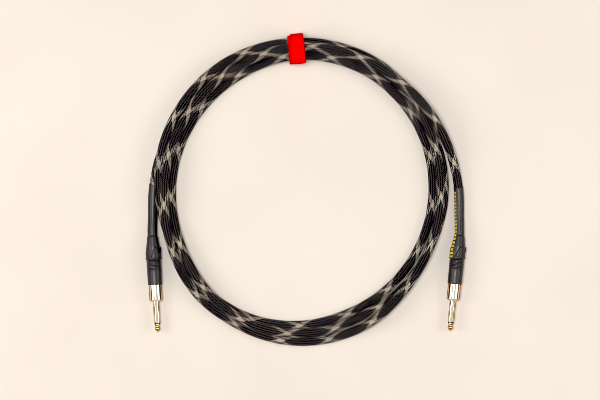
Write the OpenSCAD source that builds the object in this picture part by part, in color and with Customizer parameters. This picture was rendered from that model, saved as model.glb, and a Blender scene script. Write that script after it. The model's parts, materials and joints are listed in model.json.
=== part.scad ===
// Instrument cable: a sleeved coaxial cable with two straight 6.35 mm jack plugs,
// laid up as a flat coil and held by one hook-and-loop strap.
// Millimetres, +Z up. The origin is the middle of the footprint, on the floor.
// A winding angle of 0 is at the coil's -X side; the cable runs clockwise from there.

/* [Cable layers] */
// Outside diameter of the braided sleeve
sleeve_d = 8.8; // [8.4:0.1:8.8]
// Outside diameter of the outer jacket
jacket_d = 6.8; // [6.6:0.1:6.8]
// Outside diameter of the braided shield
shield_d = 4.7; // [4.6:0.1:4.7]
// Outside diameter of the conductive layer under the shield
screen_d = 3.5; // [3.4:0.1:3.5]
// Outside diameter of the dielectric
dielectric_d = 2.56; // [2.4:0.02:2.56]
// Outside diameter of the stranded centre conductor
conductor_d = 0.8; // [0.7:0.05:0.8]

/* [Coil] */
// Winding angle between two cross-sections of the swept cable
station_step = 12; // [10:2:12]
// Winding angle at which the left tail leaves the strapped coil
left_split = 3; // [2.8:0.1:3.2]
// Winding angle at which the right tail leaves the strapped coil
right_split = 1232; // [1231:0.5:1233]
// Half of the gap between the coil's end and a tail's end, as a winding angle
split_gap = 0.4; // [0.4:0.05:0.5]
// Lean of the left plug towards the coil's middle
left_lean = 3.2; // [2:0.2:4]
// Lean of the right plug towards the coil's middle
right_lean = 5.6; // [4:0.2:6]

/* [Plug] */
// Diameter of the jack's contact barrel
barrel_d = 6.35; // [6.3:0.01:6.35]
// Length of the jack from the shell to the point of the tip
jack_len = 31; // [30.5:0.1:31.5]
// Outside diameter of the metal shell
shell_d = 13; // [12.8:0.1:13.2]
// Length of the metal shell that shows in front of the boot
shell_len = 16.5; // [16:0.5:17]
// Length of the boot
boot_len = 48.5; // [48:0.5:49]
// Outside diameter of the boot at its grip
boot_d = 14.2; // [14:0.1:14.2]
// Number of pointed petals round the boot's grip
petal_count = 5; // [4:1:6]
// Angle of the first valley between petals, round the boot
petal_turn = 33; // [0:1:72]
// Wall of the heat-shrink tube
shrink_wall = 0.4; // [0.3:0.05:0.45]

/* [Strap] */
// Width of the strap
strap_w = 16; // [15:0.5:17]
// Thickness of one layer of the strap
strap_t = 1.7; // [1.5:0.1:1.7]
// Angle of the strap across the coil
strap_skew = 5; // [3:1:6]

/* [Hidden] */
$fn = 72;

// Centre of the coil, seen from the middle of the footprint
coil_centre = [-3.49, -1.43];

// How the cable lies: [winding angle, distance from the coil's centre, height of the axis].
// Each lap rests on the floor or on the laps beneath it, and passes over or under its neighbours.
LAY = [
    // left plug to the far side, lowest in the bundle
    [-17, 156.7, 7.8], [-8, 151, 5.3], [0, 149, 5.05], [15, 146.1, 4.7], [30, 142.4, 4.7],
    [60, 144.3, 4.7], [90, 141.6, 7.2], [120, 141.4, 4.8], [150, 142.8, 4.7], [180, 142.4, 4.7],
    [210, 139.8, 4.7], [228, 140.2, 5.2], [240, 138.8, 8.9], [252, 140.4, 9.3], [270, 143.1, 9.6],
    [285, 143.4, 12.2], [300, 141.2, 13.9], [315, 138, 14.1], [330, 134.2, 12.6], [345, 131.8, 8.4],
    // innermost lap
    [360, 130.9, 4.7], [390, 130, 4.7], [420, 131.2, 4.7], [435, 133.3, 9.5], [450, 135.2, 14],
    [465, 135.2, 13.2], [480, 135.1, 12], [495, 133.9, 10.2], [510, 133.2, 5.5], [540, 131, 4.7],
    [570, 130.2, 4.7], [605, 131, 4.7], [630, 134.9, 4.7], [660, 138.8, 4.7], [690, 139.7, 4.7],
    [705, 141.3, 4.9],
    // outermost lap
    [720, 143.2, 12.6], [737, 146, 14.4], [750, 147.1, 12.9], [780, 149, 12.9], [810, 148.4, 13.7],
    [840, 148, 11.5], [858, 144.6, 13.8], [870, 141.6, 14.2], [900, 138.6, 13.3], [930, 140.1, 14.1],
    [945, 142.9, 14.1], [956, 146.3, 15.4], [966, 149.4, 8.4], [976, 150.5, 4.8], [990, 151.3, 4.7],
    [1005, 150.3, 4.7], [1020, 148.6, 5.2], [1035, 147.8, 9.8], [1050, 143.9, 13.4], [1065, 140.3, 14.9],
    // top half lap and the right tail
    [1080, 137.6, 20.2], [1095, 137.4, 19], [1110, 137.5, 12.8], [1140, 139.6, 13.6], [1155, 141.2, 19.4],
    [1170, 143.5, 21.7], [1200, 144.8, 20.6], [1216, 146.4, 23.1], [1230, 149.6, 20.8],
    [1245, 152.8, 12.4], [1258, 156.3, 5.6], [1268, 158.9, 5.3], [1276, 163.7, 7.8]
];
LAY_START = LAY[0][0];
LAY_END = LAY[len(LAY) - 1][0];

// Clearances
slip = 0.05;
gap = 0.1;

// Inside radii of the hollow layers, each a little over the radius of the layer within it
sleeve_bore = 3.75;
jacket_bore = 2.6;
shield_bore = 2.05;
screen_bore = 1.5;
dielectric_bore = 0.5;
ROUND_SIDES = 8;
CORE_SIDES = 6;
SHRINK_SIDES = 16;

// Places along a plug's own axis, from the boot's rear end
sleeve_end = 10;
jacket_end = 27;
shield_end = 31;
screen_end = 33;
dielectric_end = 38;
conductor_end = 43;
chuck_start = 12;
claw_start = 20.5;
lug_face = 53;
rod_start = 52.2;
ground_face = 57;
flange_face = 58;
flange_t = 2.5;
thread_start = 38;
shell_front = boot_len + shell_len;
insulator_ring = 1.3;
tip_start = shell_front + jack_len - 9 + insulator_ring;
tip_end = shell_front + jack_len;

// Radii inside a plug
barrel_r = barrel_d / 2;
barrel_bore = 2.2;
shoulder_r = 3.6;
rod_r = 1.2;
insulator_r = 2.9;
shell_bore = 4.6;
thread_r = 5.5;
boot_cavity = 5.6;
bush_r = 6.3;

// Strap, in its own frame at the coil's top
strap_centre = [-5.8, 141.7];
strap_half_y = 13.45;
strap_top = 27;
strap_corner = 8;
flap_shift = 1.2;
flap_t = 1.3;
patch_t = 0.8;
hinge_y = 12;

// ---- the cable's path ----

function slope(i, col) = (LAY[i + 1][col] - LAY[i][col]) / (LAY[i + 1][0] - LAY[i][0]);

// A tangent that never overshoots: the harmonic mean of the slopes on either side
function tangent(i, col) =
    i == 0 ? slope(0, col)
    : i == len(LAY) - 1 ? slope(i - 1, col)
    : let (before = slope(i - 1, col), after = slope(i, col))
        before * after <= 0 ? 0 : 2 * before * after / (before + after);

function span_of(turn) = max([for (i = [0 : len(LAY) - 2]) if (i == 0 || turn >= LAY[i][0]) i]);

function lay_value(turn, col) =
    let (
        i = span_of(turn),
        width = LAY[i + 1][0] - LAY[i][0],
        t = (turn - LAY[i][0]) / width
    )
    (2 * pow(t, 3) - 3 * pow(t, 2) + 1) * LAY[i][col]
    + (pow(t, 3) - 2 * pow(t, 2) + t) * width * tangent(i, col)
    + (3 * pow(t, 2) - 2 * pow(t, 3)) * LAY[i + 1][col]
    + (pow(t, 3) - pow(t, 2)) * width * tangent(i + 1, col);

function lay_point(turn) =
    let (bearing = 180 - turn, r = lay_value(turn, 1))
    [coil_centre.x + r * cos(bearing), coil_centre.y + r * sin(bearing), lay_value(turn, 2)];

// A point on a plug's axis: side is -1 for the left plug and 1 for the right one
function plug_origin(side) = lay_point(side < 0 ? LAY_START : LAY_END);
function plug_lean(side) = side < 0 ? left_lean : -right_lean;
function plug_point(side, along) =
    plug_origin(side) + along * [sin(plug_lean(side)), -cos(plug_lean(side)), 0];

coil_turns = concat(
    [left_split + split_gap],
    [for (turn = [station_step : station_step : right_split - 4]) turn],
    [right_split - split_gap]
);
coil_path = [for (turn = coil_turns) lay_point(turn)];

left_turns = [left_split - split_gap, -2, -6, -10, -14, LAY_START];
right_turns = [right_split + split_gap, 1238, 1244, 1250, 1256, 1260, 1264, 1268, 1272, LAY_END];

// A tail, from its joint at the coil to a point inside the plug
function tail_path(side, inside) = concat(
    [for (turn = side < 0 ? left_turns : right_turns) lay_point(turn)],
    [plug_point(side, inside)]
);

// ---- swept shapes ----

function unit(v) = v / norm(v);

function ring(path, i, r, sides) =
    let (
        last = len(path) - 1,
        along = unit(path[min(i + 1, last)] - path[max(i - 1, 0)]),
        across = unit(cross(along, [0, 0, 1])),
        up = cross(across, along)
    )
    [for (k = [0 : sides - 1]) path[i] + r * (cos(360 * k / sides) * across + sin(360 * k / sides) * up)];

function wall_faces(first, rings, sides, outward) = [
    for (i = [0 : rings - 2])
    for (k = [0 : sides - 1])
    let (
        a = first + i * sides + k,
        b = first + i * sides + (k + 1) % sides,
        c = b + sides,
        d = a + sides
    )
    each outward ? [[a, b, c], [a, c, d]] : [[a, c, b], [a, d, c]]
];

function annulus_faces(outer, inner, sides, facing_start) = [
    for (k = [0 : sides - 1])
    let (
        a = outer + k,
        b = outer + (k + 1) % sides,
        c = inner + (k + 1) % sides,
        d = inner + k
    )
    each facing_start ? [[a, d, c], [a, c, b]] : [[a, b, c], [a, c, d]]
];

// A solid rod along a path
module swept_rod(path, r, sides) {
    rings = len(path);
    polyhedron(
        points = [for (i = [0 : rings - 1]) each ring(path, i, r, sides)],
        faces = concat(
            wall_faces(0, rings, sides, true),
            [[for (k = [sides - 1 : -1 : 0]) k]],
            [[for (k = [0 : sides - 1]) (rings - 1) * sides + k]]
        )
    );
}

// A tube along a path; outer and inner hold one radius for each station
module swept_tube(path, outer, inner, sides) {
    rings = len(path);
    half = rings * sides;
    polyhedron(
        points = concat(
            [for (i = [0 : rings - 1]) each ring(path, i, outer[i], sides)],
            [for (i = [0 : rings - 1]) each ring(path, i, inner[i], sides)]
        ),
        faces = concat(
            wall_faces(0, rings, sides, true),
            wall_faces(half, rings, sides, false),
            annulus_faces(0, half, sides, true),
            annulus_faces(half - sides, 2 * half - sides, sides, false)
        )
    );
}

module even_tube(path, outer, inner, sides) {
    swept_tube(path, [for (p = path) outer], [for (p = path) inner], sides);
}

// ---- cable layers ----

module sleeve_layer(path) {
    color("dimgray") even_tube(path, sleeve_d / 2, sleeve_bore, ROUND_SIDES);
}

module jacket_layer(path) {
    color("black") even_tube(path, jacket_d / 2, jacket_bore, ROUND_SIDES);
}

module shield_layer(path) {
    color("peru") even_tube(path, shield_d / 2, shield_bore, CORE_SIDES);
}

module screen_layer(path) {
    color("darkslategray") even_tube(path, screen_d / 2, screen_bore, CORE_SIDES);
}

module dielectric_layer(path) {
    color("white") even_tube(path, dielectric_d / 2, dielectric_bore, CORE_SIDES);
}

module conductor_core(path) {
    color("orange") swept_rod(path, conductor_d / 2, CORE_SIDES);
}

// ---- plug parts, along +Z from the boot's rear end ----

module on_plug(side) {
    translate(plug_origin(side))
        rotate([90, 0, plug_lean(side)])
            children();
}

module tube(r_out, r_in, from, to) {
    difference() {
        translate([0, 0, from])
            cylinder(h = to - from, r = r_out);
        translate([0, 0, from - 1])
            cylinder(h = to - from + 2, r = r_in);
    }
}

module tip_contact() {
    color("gold")
        rotate_extrude()
            polygon([
                [0, rod_start], [rod_r, rod_start], [rod_r, tip_start + slip],
                [2.75, tip_start + slip], [2.1, tip_start + 1.4], [2.1, tip_start + 2.1],
                [2.75, tip_end - 3.3], [2.7, tip_end - 2.5], [1.7, tip_end - 0.9], [0.6, tip_end],
                [0, tip_end]
            ]);
}

module tip_insulator() {
    color("black") {
        tube(insulator_r, rod_r + slip, tip_start - insulator_ring, tip_start);
        tube(barrel_bore - slip, rod_r + slip, ground_face + 0.2, tip_start - insulator_ring + 0.5);
    }
}

module sleeve_barrel() {
    color("lightgoldenrodyellow") {
        tube(barrel_r, barrel_bore, shell_front - 1, tip_start - insulator_ring - slip);
        tube(shoulder_r, barrel_bore, flange_face, shell_front);
        tube(shell_bore - slip, barrel_bore, flange_face, flange_face + flange_t);
    }
}

// A ring on the barrel's flange, a strip to the rear and two claws round the jacket
module ground_terminal() {
    strip_w = 3;
    color("silver") {
        tube(shell_bore - slip, barrel_bore + slip, ground_face, flange_face - slip);
        translate([-strip_w / 2, 3.7, claw_start])
            cube([strip_w, 0.6, ground_face - claw_start + 0.5]);
        difference() {
            tube(4.3, jacket_d / 2 + gap, claw_start, jacket_end - 1);
            translate([-3, -6, claw_start - 1])
                cube([6, 6, jacket_end - claw_start + 2]);
        }
    }
}

module rear_insulator() {
    slot_w = 3.4;
    color("sienna")
        difference() {
            tube(shell_bore - slip, rod_r + slip, lug_face + 1, ground_face - slip);
            translate([-slot_w / 2, 3.5, lug_face])
                cube([slot_w, 2, ground_face - lug_face]);
        }
}

module tip_lug() {
    tab_w = 2.2;
    lug_r = 2.7;
    color("gold") {
        tube(lug_r, rod_r + slip, lug_face, lug_face + 0.9);
        translate([-tab_w / 2, -2.6, lug_face - 1.5])
            cube([tab_w, 0.6, 2]);
        translate([-tab_w / 2, -2.6, lug_face - 1.5])
            cube([tab_w, 2.1, 0.6]);
        translate([-tab_w / 2, -1.1, conductor_end - 4])
            cube([tab_w, 0.6, lug_face - conductor_end + 3]);
    }
}

module insulating_tube() {
    color("lightblue") tube(3.6, 3.3, dielectric_end - 2, lug_face + 0.8);
}

module plug_shell() {
    chamfer = 1.2;
    color("lightgoldenrodyellow")
        difference() {
            union() {
                translate([0, 0, thread_start])
                    cylinder(h = boot_len - thread_start + 1, r = thread_r);
                translate([0, 0, boot_len + slip])
                    cylinder(h = shell_len - chamfer - slip, d = shell_d);
                translate([0, 0, shell_front - chamfer])
                    cylinder(h = chamfer, d1 = shell_d, d2 = shell_d - 2 * chamfer);
            }
            translate([0, 0, thread_start - 1])
                cylinder(h = flange_face + flange_t + slip - thread_start + 1, r = shell_bore);
            cylinder(h = shell_front + 1, r = shoulder_r + slip);
        }
}

module boot_bush() {
    color("goldenrod") tube(bush_r - slip, thread_r + slip, thread_start + 0.5, boot_len - slip);
}

// A split collet that the boot squeezes onto the jacket
module cable_chuck() {
    finger_count = 4;
    slot_w = 1;
    length = claw_start - chuck_start - 1;
    color("white")
        difference() {
            translate([0, 0, chuck_start])
                cylinder(h = length, r1 = 4.8, r2 = boot_cavity - gap);
            translate([0, 0, chuck_start - 1])
                cylinder(h = length + 2, r = jacket_d / 2 + slip);
            for (i = [0 : finger_count - 1])
                rotate([0, 0, 360 * i / finger_count])
                    translate([0, -slot_w / 2, chuck_start - 1])
                        cube([8, slot_w, length - 1]);
        }
}

// The boot's outline: cone, grip and a smooth barrel
module boot_body() {
    cone_end = 11.5;
    grip_end = 23;
    grip_r = boot_d / 2;
    rotate_extrude()
        polygon([
            [0, 0.6], [4.95, 0.6], [grip_r - 0.6, cone_end], [grip_r - 0.6, grip_end],
            [grip_r - 0.25, grip_end], [grip_r - 0.35, boot_len], [0, boot_len]
        ]);
    difference() {
        translate([0, 0, cone_end])
            cylinder(h = grip_end - cone_end, r = grip_r);
        for (i = [0 : petal_count - 1])
            rotate([0, 0, petal_turn + 360 * i / petal_count])
                petal_valley(cone_end, grip_r);
    }
}

// A V-shaped cut that opens to the rear and leaves a pointed petal on either side
module petal_valley(start, r) {
    depth = 9;
    half_w = r * tan(180 / petal_count) + 0.01;
    translate([0, 0, start])
        rotate([90, 0, 90])
            linear_extrude(height = r + 2)
                polygon([[-half_w, -0.01], [half_w, -0.01], [0, depth]]);
}

module boot() {
    groove_count = 4;
    groove_pitch = 2.6;
    groove_w = 0.9;
    first_groove = 24.3;
    color("darkslategray")
        difference() {
            boot_body();
            cylinder(h = chuck_start, r = sleeve_d / 2 + gap);
            translate([0, 0, chuck_start - gap])
                cylinder(h = boot_len, r = boot_cavity);
            translate([0, 0, thread_start])
                cylinder(h = boot_len, r = bush_r);
            for (i = [0 : groove_count - 1])
                tube(boot_d, boot_d / 2 - 0.6, first_groove + i * groove_pitch,
                    first_groove + i * groove_pitch + groove_w);
        }
}

// Distance from the boot's rear end and bore radius of the heat-shrink tube where it covers the boot
BOOT_SHRINK = [[0.4, 5.1], [11.3, 6.75], [12.2, 7.3], [23, 7.3], [24, 7.1], [boot_len - 0.3, 7]];

// One heat-shrink tube over the sleeve's end and the whole boot
module heat_shrink(side) {
    cover_turns = side < 0 ? [2.1, -2, -6, -10, -14] : [1259, 1263, 1267, 1271];
    on_cable = sleeve_d / 2 / cos(180 / SHRINK_SIDES) + slip;
    path = concat(
        [for (turn = cover_turns) lay_point(turn)],
        [plug_point(side, -1)],
        [for (p = BOOT_SHRINK) plug_point(side, p[0])]
    );
    bores = concat([for (i = [0 : len(cover_turns)]) on_cable], [for (p = BOOT_SHRINK) p[1]]);
    color("gray") swept_tube(path, [for (r = bores) r + shrink_wall], bores, SHRINK_SIDES);
}

// ---- strap ----

module at_strap() {
    translate([coil_centre.x + strap_centre.x, coil_centre.y + strap_centre.y, 0])
        rotate([0, 0, strap_skew])
            children();
}

module rounded_block(half_y, low, high, corner, width) {
    rotate([90, 0, 90])
        translate([0, 0, -width / 2])
            linear_extrude(height = width) {
                for (y = [-half_y + corner, half_y - corner])
                    for (z = [low + corner, high - corner])
                        translate([y, z])
                            circle(r = corner);
                translate([-half_y, low + corner])
                    square([2 * half_y, high - low - 2 * corner]);
                translate([-half_y + corner, low])
                    square([2 * (half_y - corner), high - low]);
            }
}

module strap_band() {
    color("red")
        at_strap()
            difference() {
                rounded_block(strap_half_y + strap_t, 0, strap_top + strap_t, strap_corner + strap_t, strap_w);
                rounded_block(strap_half_y, strap_t, strap_top, strap_corner, strap_w + 2);
            }
}

flap_low = strap_top + strap_t + gap + patch_t + gap;

module strap_flap() {
    free_end = -strap_half_y - strap_t - 0.3;
    color("crimson")
        at_strap()
            translate([flap_shift - strap_w / 2, free_end, flap_low])
                cube([strap_w - 0.5, hinge_y - free_end - flap_t / 2, flap_t]);
}

module hook_patch() {
    patch_l = 12;
    color("maroon")
        at_strap()
            translate([flap_shift - strap_w / 2 + 0.75, -strap_half_y + 1, strap_top + strap_t + gap])
                cube([strap_w - 2, patch_l, patch_t]);
}

// ---- nodes ----

module braided_sleeve() sleeve_layer(coil_path);
module outer_jacket() jacket_layer(coil_path);
module braided_shield() shield_layer(coil_path);
module conductive_layer() screen_layer(coil_path);
module dielectric() dielectric_layer(coil_path);
module centre_conductor() conductor_core(coil_path);
module tail_sleeve(side) sleeve_layer(tail_path(side, sleeve_end));
module tail_jacket(side) jacket_layer(tail_path(side, jacket_end));
module tail_shield(side) shield_layer(tail_path(side, shield_end));
module tail_screen(side) screen_layer(tail_path(side, screen_end));
module tail_dielectric(side) dielectric_layer(tail_path(side, dielectric_end));
module tail_conductor(side) conductor_core(tail_path(side, conductor_end));

braided_sleeve();
outer_jacket();
braided_shield();
conductive_layer();
dielectric();
centre_conductor();
tail_sleeve(-1);  // left_braided_sleeve
tail_jacket(-1);  // left_outer_jacket
tail_shield(-1);  // left_braided_shield
tail_screen(-1);  // left_conductive_layer
tail_dielectric(-1);  // left_dielectric
tail_conductor(-1);  // left_centre_conductor
on_plug(-1) tip_contact();  // left_tip_contact
on_plug(-1) tip_insulator();  // left_tip_insulator
on_plug(-1) sleeve_barrel();  // left_sleeve_barrel
on_plug(-1) ground_terminal();  // left_ground_terminal
on_plug(-1) rear_insulator();  // left_rear_insulator
on_plug(-1) tip_lug();  // left_tip_lug
on_plug(-1) insulating_tube();  // left_insulating_tube
on_plug(-1) plug_shell();  // left_plug_shell
on_plug(-1) boot_bush();  // left_boot_bush
on_plug(-1) cable_chuck();  // left_cable_chuck
on_plug(-1) boot();  // left_boot
heat_shrink(-1);  // left_heat_shrink
tail_sleeve(1);  // right_braided_sleeve
tail_jacket(1);  // right_outer_jacket
tail_shield(1);  // right_braided_shield
tail_screen(1);  // right_conductive_layer
tail_dielectric(1);  // right_dielectric
tail_conductor(1);  // right_centre_conductor
on_plug(1) tip_contact();  // right_tip_contact
on_plug(1) tip_insulator();  // right_tip_insulator
on_plug(1) sleeve_barrel();  // right_sleeve_barrel
on_plug(1) ground_terminal();  // right_ground_terminal
on_plug(1) rear_insulator();  // right_rear_insulator
on_plug(1) tip_lug();  // right_tip_lug
on_plug(1) insulating_tube();  // right_insulating_tube
on_plug(1) plug_shell();  // right_plug_shell
on_plug(1) boot_bush();  // right_boot_bush
on_plug(1) cable_chuck();  // right_cable_chuck
on_plug(1) boot();  // right_boot
heat_shrink(1);  // right_heat_shrink
strap_band();
strap_flap();
hook_patch();
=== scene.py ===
"""Looks of a sleeved instrument cable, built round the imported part.

A braided sleeve made yarn by yarn, the cable's inner layers, heat-shrink tubes over the boots, turned plug
parts and a hook-and-loop strap. Shapes are worked out in millimetres and stored in metres.
"""

import json
import math

import bpy
import numpy as np
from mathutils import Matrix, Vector


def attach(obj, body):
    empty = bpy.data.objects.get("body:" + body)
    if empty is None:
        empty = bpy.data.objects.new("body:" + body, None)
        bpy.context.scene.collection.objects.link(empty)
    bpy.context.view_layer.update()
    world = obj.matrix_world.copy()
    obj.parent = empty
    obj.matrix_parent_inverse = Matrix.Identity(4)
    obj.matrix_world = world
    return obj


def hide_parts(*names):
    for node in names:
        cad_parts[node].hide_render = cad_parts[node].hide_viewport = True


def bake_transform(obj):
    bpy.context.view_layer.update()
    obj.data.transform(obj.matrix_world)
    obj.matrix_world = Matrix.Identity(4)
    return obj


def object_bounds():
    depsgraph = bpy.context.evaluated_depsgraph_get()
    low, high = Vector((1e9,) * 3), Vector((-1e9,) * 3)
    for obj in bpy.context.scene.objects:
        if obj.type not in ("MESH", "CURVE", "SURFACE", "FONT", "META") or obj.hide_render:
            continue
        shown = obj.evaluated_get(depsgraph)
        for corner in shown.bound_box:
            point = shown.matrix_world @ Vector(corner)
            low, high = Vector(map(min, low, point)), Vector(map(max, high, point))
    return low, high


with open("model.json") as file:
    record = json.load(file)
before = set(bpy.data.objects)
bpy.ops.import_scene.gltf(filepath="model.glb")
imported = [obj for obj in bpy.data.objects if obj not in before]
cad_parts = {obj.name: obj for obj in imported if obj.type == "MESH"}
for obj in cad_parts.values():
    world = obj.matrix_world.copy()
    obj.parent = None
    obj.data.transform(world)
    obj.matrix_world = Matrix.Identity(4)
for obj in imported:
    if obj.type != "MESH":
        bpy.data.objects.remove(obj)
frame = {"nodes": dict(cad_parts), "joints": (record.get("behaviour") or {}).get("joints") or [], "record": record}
cad_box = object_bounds()

MM = 0.001
TURN = 2 * math.pi
VERTICAL = np.array([0.0, 0.0, 1.0])
SIDES = ("left", "right")

# ---- reading the CAD frame ----


def cad_points(node):
    """A CAD node's vertices, in millimetres."""
    mesh = frame["nodes"][node].data
    co = np.empty(len(mesh.vertices) * 3, np.float32)
    mesh.vertices.foreach_get("co", co)
    return co.reshape(-1, 3).astype(float) / MM


def unit(v):
    return v / np.linalg.norm(v, axis=-1, keepdims=True)


RING_REACH = 1.2  # wider than the conductor, and much less than the space between its rings


def ring_centres(node):
    """Centres of the rings of a swept rod, in order from one end to the other."""
    points = cad_points(node)
    ring_of = np.full(len(points), -1)
    centres = []
    for i, point in enumerate(points):
        if ring_of[i] < 0:
            near = (ring_of < 0) & (np.linalg.norm(points - point, axis=1) < RING_REACH)
            ring_of[near] = len(centres)
            centres.append(np.unique(np.round(points[near], 3), axis=0).mean(axis=0))
    beside = {i: set() for i in range(len(centres))}
    for edge in frame["nodes"][node].data.edges:
        a, b = (ring_of[v] for v in edge.vertices)
        if a != b:
            beside[a].add(b)
            beside[b].add(a)
    walk = [next(i for i, near in beside.items() if len(near) == 1)]
    while len(walk) < len(centres):
        walk.append(next(i for i in beside[walk[-1]] if i not in walk[-2:]))
    return np.array([centres[i] for i in walk])


def ordered_from(points, start):
    """The points, turned round if their last one is nearer to start than their first."""
    first, last = np.linalg.norm(points[[0, -1]] - start, axis=1)
    return points if first < last else points[::-1]


def joint_of(name):
    return next(j for j in frame["joints"] if j["name"] == name)


PIVOT = {side: np.array(joint_of(side + "_tail_swing")["pos_m"]) / MM for side in SIDES}

# ---- the cable's route ----


def smooth_through(knots, values, at):
    """A curve through the values that never overshoots them."""
    step = np.diff(knots)
    slope = np.diff(values) / step
    product = slope[:-1] * slope[1:]
    inner = np.where(product > 0, 2 * product / np.where(product > 0, slope[:-1] + slope[1:], 1), 0)
    tangent = np.concatenate([slope[:1], inner, slope[-1:]])
    i = np.clip(np.searchsorted(knots, at, side="right") - 1, 0, len(step) - 1)
    t = (at - knots[i]) / step[i]
    return (
        (2 * t**3 - 3 * t**2 + 1) * values[i]
        + (t**3 - 2 * t**2 + t) * step[i] * tangent[i]
        + (3 * t**2 - 2 * t**3) * values[i + 1]
        + (t**3 - t**2) * step[i] * tangent[i + 1]
    )


def evenly(line, step):
    """Points a step apart along a line of points, their distances along it, and the line's length."""
    along = np.concatenate([[0], np.cumsum(np.linalg.norm(np.diff(line, axis=0), axis=1))])
    even = np.arange(0, along[-1], step)
    return np.stack([np.interp(even, along, column) for column in line.T], axis=1), even, along[-1]


ROUTE_STEP = 1.0
ROUTE_SAMPLES = 12000  # places the curve is worked out at before it is divided into even steps
PLUG_REACH = 110.0  # how far the route runs on past each boot's rear end
EASE = 5  # how many route steps the corners between straight and coiled stretches are eased over


def build_route():
    """Points 1 mm apart along the cable's axis, and the distance of each boot's rear end along them."""
    coil = ordered_from(ring_centres("centre_conductor"), PIVOT["left"])
    left = ordered_from(ring_centres("left_centre_conductor"), coil[0])[::-1]
    right = ordered_from(ring_centres("right_centre_conductor"), coil[-1])
    middle = (coil.min(axis=0) + coil.max(axis=0)) / 2
    knots = np.concatenate([left[1:], coil, right[:-1]])
    flat = (knots - middle)[:, :2]
    turn = -np.unwrap(np.arctan2(flat[:, 1], flat[:, 0]))
    at = np.linspace(turn[0], turn[-1], ROUTE_SAMPLES)
    radius = smooth_through(turn, np.linalg.norm(flat, axis=1), at)
    height = smooth_through(turn, knots[:, 2], at)
    curve = np.stack([radius * np.cos(-at), radius * np.sin(-at), height], axis=1)
    curve[:, :2] += middle[:2]
    ends = {"left": unit(left[0] - left[1]), "right": unit(right[-1] - right[-2])}
    run = np.arange(PLUG_REACH, 0, -ROUTE_STEP)[:, None]
    curve = np.concatenate([curve[0] + run * ends["left"], curve, curve[-1] + run[::-1] * ends["right"]])
    points, even, length = evenly(curve, ROUTE_STEP)
    window = np.hanning(2 * EASE + 3)[1:-1]
    window /= window.sum()
    padded = np.concatenate(
        [2 * points[0] - points[EASE:0:-1], points, 2 * points[-1] - points[-2 : -EASE - 2 : -1]]
    )
    eased = np.stack([np.convolve(padded[:, k], window, "valid") for k in range(3)], axis=1)
    return even, eased, PLUG_REACH, length - PLUG_REACH


ROUTE_S, ROUTE_P, LEFT_REAR, RIGHT_REAR = build_route()
ROUTE_T = unit(np.gradient(ROUTE_P, axis=0))


def route(distance, backwards=False):
    """Centre, across, up and ahead at distances along the cable. Backwards faces the left plug."""
    centre, ahead = (
        np.stack([np.interp(distance, ROUTE_S, column) for column in table.T], axis=-1)
        for table in (ROUTE_P, ROUTE_T)
    )
    ahead = unit(ahead)
    if backwards:
        ahead = -ahead
    across = unit(np.cross(VERTICAL, ahead))
    return centre, across, np.cross(ahead, across), ahead


def distance_of(point):
    """Distance along the cable of the place nearest to a point."""
    return ROUTE_S[np.argmin(np.linalg.norm(ROUTE_P - point, axis=1))]


def near_plug(side, z):
    """Route directions at a place z along a plug's own axis: 0 at the boot's rear end, growing to the tip."""
    if side == "left":
        return route(LEFT_REAR - z, backwards=True)
    return route(RIGHT_REAR + z)


SPLIT = {side: distance_of(PIVOT[side]) for side in SIDES}


def bend_with_tail(obj):
    """Bakes a piece's place into its mesh."""
    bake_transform(obj)


def plug_span(side, part):
    """Where a CAD node starts and ends along its plug's axis, and its greatest radius."""
    centre, _, _, ahead = near_plug(side, PLUG_REACH / 2)
    rel = cad_points(f"{side}_{part}") - centre + ahead * PLUG_REACH / 2
    z = rel @ ahead
    return z.min(), z.max(), np.linalg.norm(rel - z[:, None] * ahead, axis=1).max()


TAIL_REACH = 120.0  # farther behind a boot than any tail node starts
TAIL_STEP = 0.25


def tail_start(side, part):
    """Where a CAD node on a tail starts, along the plug's axis and the cable behind it."""
    z = np.arange(-TAIL_REACH, 0.0, TAIL_STEP)
    centres = near_plug(side, z)[0]
    points = cad_points(f"{side}_{part}")
    nearest = [np.argmin(np.linalg.norm(centres - p, axis=1)) for p in points]
    return z[min(nearest)]


# ---- meshes ----


def new_piece(name, points, faces, materials, face_material=None):
    """A smooth-shaded mesh object from points in millimetres and arrays of faces, each (n, corners)."""
    faces = [np.asarray(f, np.int32) for f in faces if len(f)]
    sizes = np.concatenate([np.full(len(f), f.shape[1], np.int32) for f in faces])
    corners = np.concatenate([f.ravel() for f in faces])
    mesh = bpy.data.meshes.new(name)
    mesh.vertices.add(len(points))
    mesh.vertices.foreach_set("co", (np.asarray(points) * MM).astype(np.float32).ravel())
    mesh.loops.add(len(corners))
    mesh.loops.foreach_set("vertex_index", corners)
    mesh.polygons.add(len(sizes))
    mesh.polygons.foreach_set("loop_start", (np.cumsum(sizes) - sizes).astype(np.int32))
    mesh.polygons.foreach_set("use_smooth", np.ones(len(sizes), bool))
    for material in materials:
        mesh.materials.append(material)
    if face_material is not None:
        mesh.polygons.foreach_set("material_index", face_material.astype(np.int32))
    mesh.update(calc_edges=True)
    obj = bpy.data.objects.new(name, mesh)
    bpy.context.scene.collection.objects.link(obj)
    return obj


def grid(rows, columns, first=0, inward=False):
    """Quads over rows of points whose last column joins up with the first. Faces look out unless inward."""
    r, c = np.meshgrid(np.arange(rows - 1), np.arange(columns), indexing="ij")
    a = first + r * columns + c
    b = first + r * columns + (c + 1) % columns
    quads = np.stack([a, b, b + columns, a + columns], axis=-1).reshape(-1, 4)
    return quads[:, ::-1] if inward else quads


def end_ring(outer, inner, columns, facing_ahead):
    """Quads between two rings of points that end a tube."""
    k = np.arange(columns)
    n = (k + 1) % columns
    quads = np.stack([outer + k, outer + n, inner + n, inner + k], axis=-1)
    return quads if facing_ahead else quads[:, ::-1]


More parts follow.
